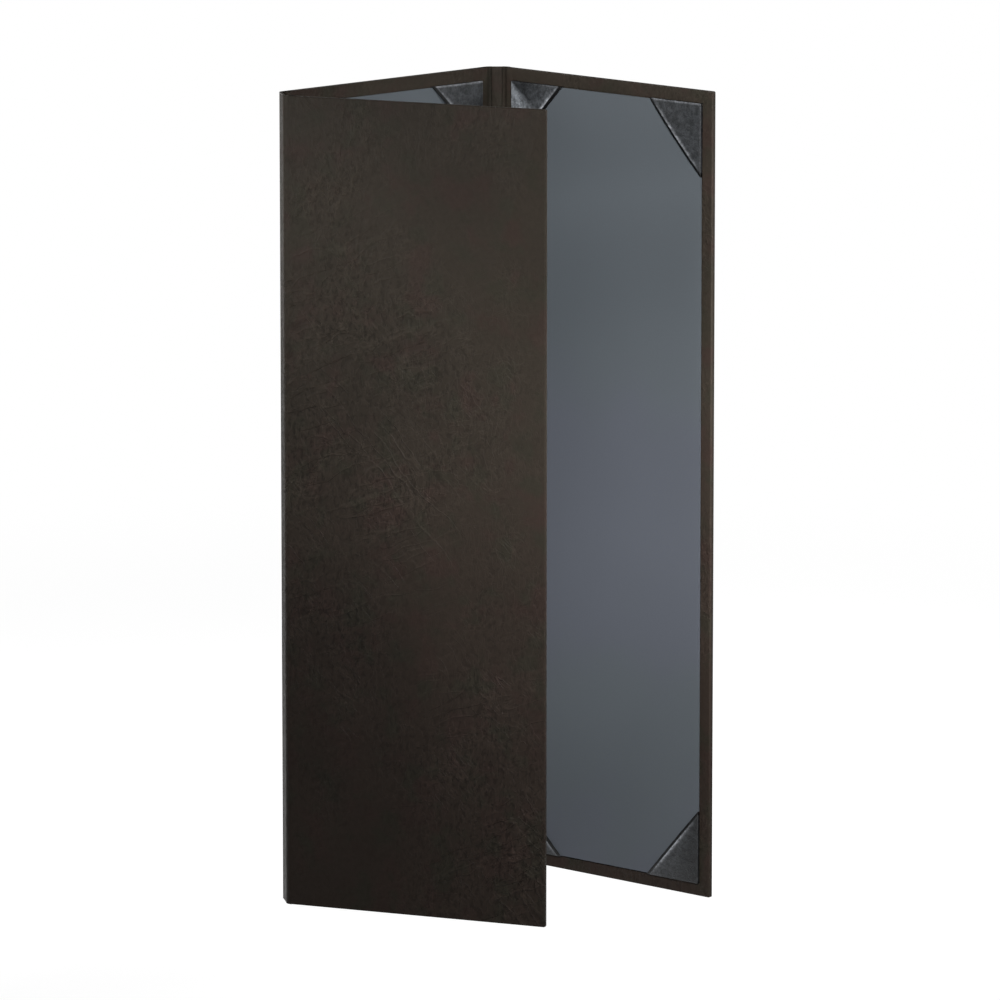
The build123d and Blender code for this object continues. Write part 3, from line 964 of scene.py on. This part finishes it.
class MENUCOVER_OT_grooves(bpy.types.Operator):
    """Model the four grooves that bend between a panel and a spine"""
    bl_idname = "menu_cover.grooves"
    bl_label = "Grooves"

    def execute(self, context):
        shape = context.scene.menu_cover_shape
        right_fold = -RIGHT_TURN
        front_fold = FRONT_TURN
        rows = (
            ("centre_right_groove", RIGHT_NEAR, 0.0, right_fold, True, "centre_panel", "right_spine"),
            ("right_groove", RIGHT_FAR, 2 * RIGHT_TURN, right_fold, False, "right_panel", "right_spine"),
            ("centre_left_groove", FRONT_NEAR, 0.0, front_fold, False, "centre_panel", "front_spine"),
            ("front_groove", FRONT_FAR, 2 * FRONT_TURN, front_fold, True, "front_panel", "front_spine"),
        )
        for node, foot, turn, fold, flip, panel_body, spine_body in rows:
            place = standing(foot, turn)
            way = -1 if flip else 1
            spine_turn = turn + way * fold
            leather = finish_for("leather", panel_body.split("_")[0], foot, turn)
            piece = finished(groove_mesh(fold, shape, flip), f"{node}_skin", place, leather, None,
                             [node])
            start = place @ Vector((way * PANEL_SETBACK, 0, 0))
            along = Matrix.Rotation(spine_turn, 4, "Z") @ Vector((-way * SPINE_SETBACK, 0, 0))
            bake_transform(piece)
        return {"FINISHED"}


class MENUCOVER_OT_pockets(bpy.types.Operator):
    """Model the corner pockets on the liner cards"""
    bl_idname = "menu_cover.pockets"
    bl_label = "Corner pockets"

    def execute(self, context):
        shape = context.scene.menu_cover_shape
        seed = 0
        for panel in panels():
            leather = panel.finish("pocket")
            for row, z, up in (("bottom", HEM_MARGIN, 1), ("top", PANEL_H - HEM_MARGIN, -1)):
                for column, x, inward in (("left", panel.card_left, 1), ("right", panel.card_right, -1)):
                    seed += 1
                    creased = (panel.name, row, column) == ("right", "top", "left")
                    # Top rims carry a painted highlight, partly scuffing; the creased pocket's lit and
                    # shaded facets and the bottom pockets' darkening are painted light and shade.
                    worn_and_lit = PocketWearAndLight(0.65 if row == "top" and not creased else 0.06, 0.08, 0.85,
                                      1.0 if creased else 0.0, 1.0 if row == "bottom" else 0.0)
                    to_panel = Matrix.Translation((x, CARD_FACE, z)) @ Matrix.Diagonal((inward, -1, up, 1))
                    corner = f"{panel.name}_{row}_{column}_pocket"
                    piece = finished(pocket_mesh(shape, worn_and_lit, seed), f"{corner}_skin",
                                     panel.place @ to_panel, leather, panel.body,
                                     [corner], POCKET_SMOOTH_ANGLE)
                    wall = piece.modifiers.new("Thickness", "SOLIDIFY")
                    wall.thickness = shape.pocket_skin
                    wall.offset = -1.0
        return {"FINISHED"}


class MENUCOVER_OT_cards(bpy.types.Operator):
    """Finish the liner cards and the boards"""
    bl_idname = "menu_cover.cards"
    bl_label = "Liner cards and boards"

    def execute(self, context):
        board = board_finish("greyboard", context.scene.menu_cover_colours)
        for panel in panels():
            dress(frame["nodes"][f"{panel.name}_liner"], panel.finish("liner"))
        for node, piece in frame["nodes"].items():
            if node.endswith("_board"):
                dress(piece, board)
        return {"FINISHED"}


def dress(piece, finish):
    """Give a carried-over piece its finish."""
    for slot in piece.material_slots:
        slot.material = finish


class MENUCOVER_OT_stage(bpy.types.Operator):
    """Set up the floor, the lamps, the surroundings and the camera"""
    bl_idname = "menu_cover.stage"
    bl_label = "Stage"

    def execute(self, context):
        context.scene.view_settings.view_transform = "Standard"
        add_floor(context.scene.menu_cover_colours)
        add_world()
        add_lamps()
        add_camera()
        return {"FINISHED"}


def backdrop_rays(finish):
    """One for the rays that show the backdrop: from the camera, reflected or let through."""
    rays = [finish.node("LightPath", {}, {}, f"Is {word} Ray")
            for word in ("Camera", "Glossy", "Transmission")]
    return finish.node("Math", {"operation": "MAXIMUM"}, {0: rays[0] + rays[1], 1: rays[2]})


def add_floor(colours):
    """A pale floor that looks white, keeps the cover's shadow and fades into a white backdrop."""
    bm = bmesh.new()
    bmesh.ops.create_grid(bm, x_segments=1, y_segments=1, size=FLOOR_REACH)
    mesh = bpy.data.meshes.new("floor")
    bm.to_mesh(mesh)
    bm.free()
    floor = bpy.data.objects.new("floor", mesh)
    bpy.context.scene.collection.objects.link(floor)
    finish = Finish("floor", Roughness=0.9, Specular_IOR_Level=0.0, Emission_Strength=1.0)
    finish.shader.inputs["Base Color"].default_value = rgba(colours.floor)
    shown = backdrop_rays(finish)
    finish.feed("Emission Color", finish.blend(shown, BLACK, (FLOOR_GLOW, FLOOR_GLOW, FLOOR_GLOW, 1)))
    white = finish.node("Emission", {}, {"Color": WHITE, "Strength": 1.0})
    far = finish.ramp(finish.node("VectorMath", {"operation": "LENGTH"}, {0: finish.place()}, "Value"),
                      FADE_START, FADE_END, 0.0, 1.0)
    lit = Value(finish, finish.shader.outputs[0])
    mixed = finish.node("MixShader", {}, {0: far * shown, 1: lit, 2: white})
    finish.tree.links.new(mixed.socket, finish.tree.nodes["Material Output"].inputs["Surface"])
    mesh.materials.append(finish.material)


def add_world():
    """White surroundings for what the camera sees, softer light for the cover."""
    world = bpy.data.worlds.new("surroundings")
    bpy.context.scene.world = world
    world.use_nodes = True
    tree = world.node_tree
    light = tree.nodes["Background"]
    light.inputs["Color"].default_value = SURROUND_COLOUR
    light.inputs["Strength"].default_value = SURROUND_LIGHT
    white = tree.nodes.new("ShaderNodeBackground")
    white.inputs["Color"].default_value = WHITE
    rays = tree.nodes.new("ShaderNodeLightPath")
    mix = tree.nodes.new("ShaderNodeMixShader")
    tree.links.new(rays.outputs["Is Camera Ray"], mix.inputs[0])
    tree.links.new(light.outputs[0], mix.inputs[1])
    tree.links.new(white.outputs[0], mix.inputs[2])
    tree.links.new(mix.outputs[0], tree.nodes["World Output"].inputs["Surface"])


def around(azimuth, distance, height):
    """A point round the cover: azimuth 0 is in front of it, 90 degrees to its left."""
    turn = math.radians(azimuth)
    return Vector((-math.sin(turn) * distance, -math.cos(turn) * distance, height)) + MIDDLE


def add_lamp(name, place, aim, size, power, spread):
    """A soft square lamp that faces a point, with its beam held in by a grid."""
    lamp = bpy.data.lights.new(name, "AREA")
    lamp.shape = "SQUARE"
    lamp.size = size
    lamp.energy = power
    lamp.spread = spread
    holder = bpy.data.objects.new(name, lamp)
    bpy.context.scene.collection.objects.link(holder)
    way = (aim - place).to_track_quat("-Z", "Y").to_matrix().to_4x4()
    holder.matrix_world = Matrix.Translation(place) @ way


def add_lamps():
    """Two lamps into the open cover, two that graze the front panel from above, and two behind."""
    for name, azimuth, distance, height, aim, size, power, spread in LAMPS:
        add_lamp(name, around(azimuth, distance, height), aim, size, power, math.radians(spread))


def add_camera():
    """Long lens from the front left and a little above."""
    camera = bpy.data.cameras.new("camera")
    camera.sensor_width = SENSOR
    camera.lens = SENSOR * FOCAL_PIXELS / FRAME_PIXELS
    camera.clip_end = CAMERA_REACH
    forward = Vector((math.sin(CAMERA_AZIMUTH) * math.cos(CAMERA_PITCH),
                      math.cos(CAMERA_AZIMUTH) * math.cos(CAMERA_PITCH), -math.sin(CAMERA_PITCH)))
    right = Vector((math.cos(CAMERA_AZIMUTH), -math.sin(CAMERA_AZIMUTH), 0.0))
    up = right.cross(forward)
    place = (Vector((0, 0, PANEL_H / 2)) - forward * CAMERA_DISTANCE - right * CAMERA_SLIDE
             - up * CAMERA_LIFT)
    holder = bpy.data.objects.new("camera", camera)
    bpy.context.scene.collection.objects.link(holder)
    turn = Matrix((right, up, -forward)).transposed().to_4x4()
    holder.matrix_world = Matrix.Translation(place) @ turn
    bpy.context.scene.camera = holder


class MENUCOVER_PT_panel(bpy.types.Panel):
    """Steps that build the menu cover"""
    bl_label = "Menu cover"
    bl_idname = "MENUCOVER_PT_panel"
    bl_space_type = "VIEW_3D"
    bl_region_type = "UI"
    bl_category = "Menu cover"

    def draw(self, context):
        for step in STEPS:
            self.layout.operator(step.bl_idname)
        for group in (context.scene.menu_cover_shape, context.scene.menu_cover_colours):
            box = self.layout.box()
            for name in group.__annotations__:
                box.prop(group, name)


STEPS = (MENUCOVER_OT_skins, MENUCOVER_OT_spines, MENUCOVER_OT_grooves, MENUCOVER_OT_pockets,
         MENUCOVER_OT_cards, MENUCOVER_OT_stage)
CLASSES = (MenuCoverShape, MenuCoverColours, *STEPS, MENUCOVER_PT_panel)


def register():
    """Make the classes and the scene's settings known."""
    for cls in CLASSES:
        bpy.utils.register_class(cls)
    bpy.types.Scene.menu_cover_shape = bpy.props.PointerProperty(type=MenuCoverShape)
    bpy.types.Scene.menu_cover_colours = bpy.props.PointerProperty(type=MenuCoverColours)


def unregister():
    """Take the classes and settings away again."""
    del bpy.types.Scene.menu_cover_colours
    del bpy.types.Scene.menu_cover_shape
    for cls in reversed(CLASSES):
        bpy.utils.unregister_class(cls)


def main():
    """Build every piece."""
    register()
    bpy.ops.menu_cover.skins()
    bpy.ops.menu_cover.spines()
    bpy.ops.menu_cover.grooves()
    bpy.ops.menu_cover.pockets()
    bpy.ops.menu_cover.cards()
    bpy.ops.menu_cover.stage()


if __name__ == "__main__":
    main()
